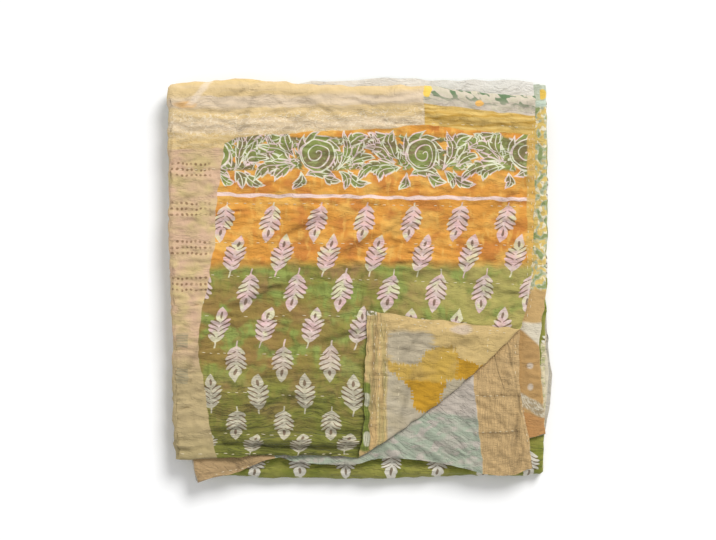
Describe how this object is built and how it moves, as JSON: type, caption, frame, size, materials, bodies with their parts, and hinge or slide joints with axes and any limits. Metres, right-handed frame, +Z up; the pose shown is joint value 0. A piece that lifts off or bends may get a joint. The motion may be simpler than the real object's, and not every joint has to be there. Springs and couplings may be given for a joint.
{
  "type": "folded sari quilt",
  "caption": "Hand-stitched patchwork throw of old sari cotton, folded into a flat square bundle with one corner of its top layer turned back.",
  "frame": {"origin": "middle of the bundle's box, on the surface that it lies on", "axes": "+Z up from the surface, +Y towards the folded edge that is uppermost and far from the turned corner, +X towards the side with the open hems"},
  "size_m": [0.432, 0.4562, 0.034],
  "materials": {
    "cloth": "washed cotton, matt and crinkled"
  },
  "bodies": {
    "root": {"quilt": "cloth"}
  },
  "joints": []
}
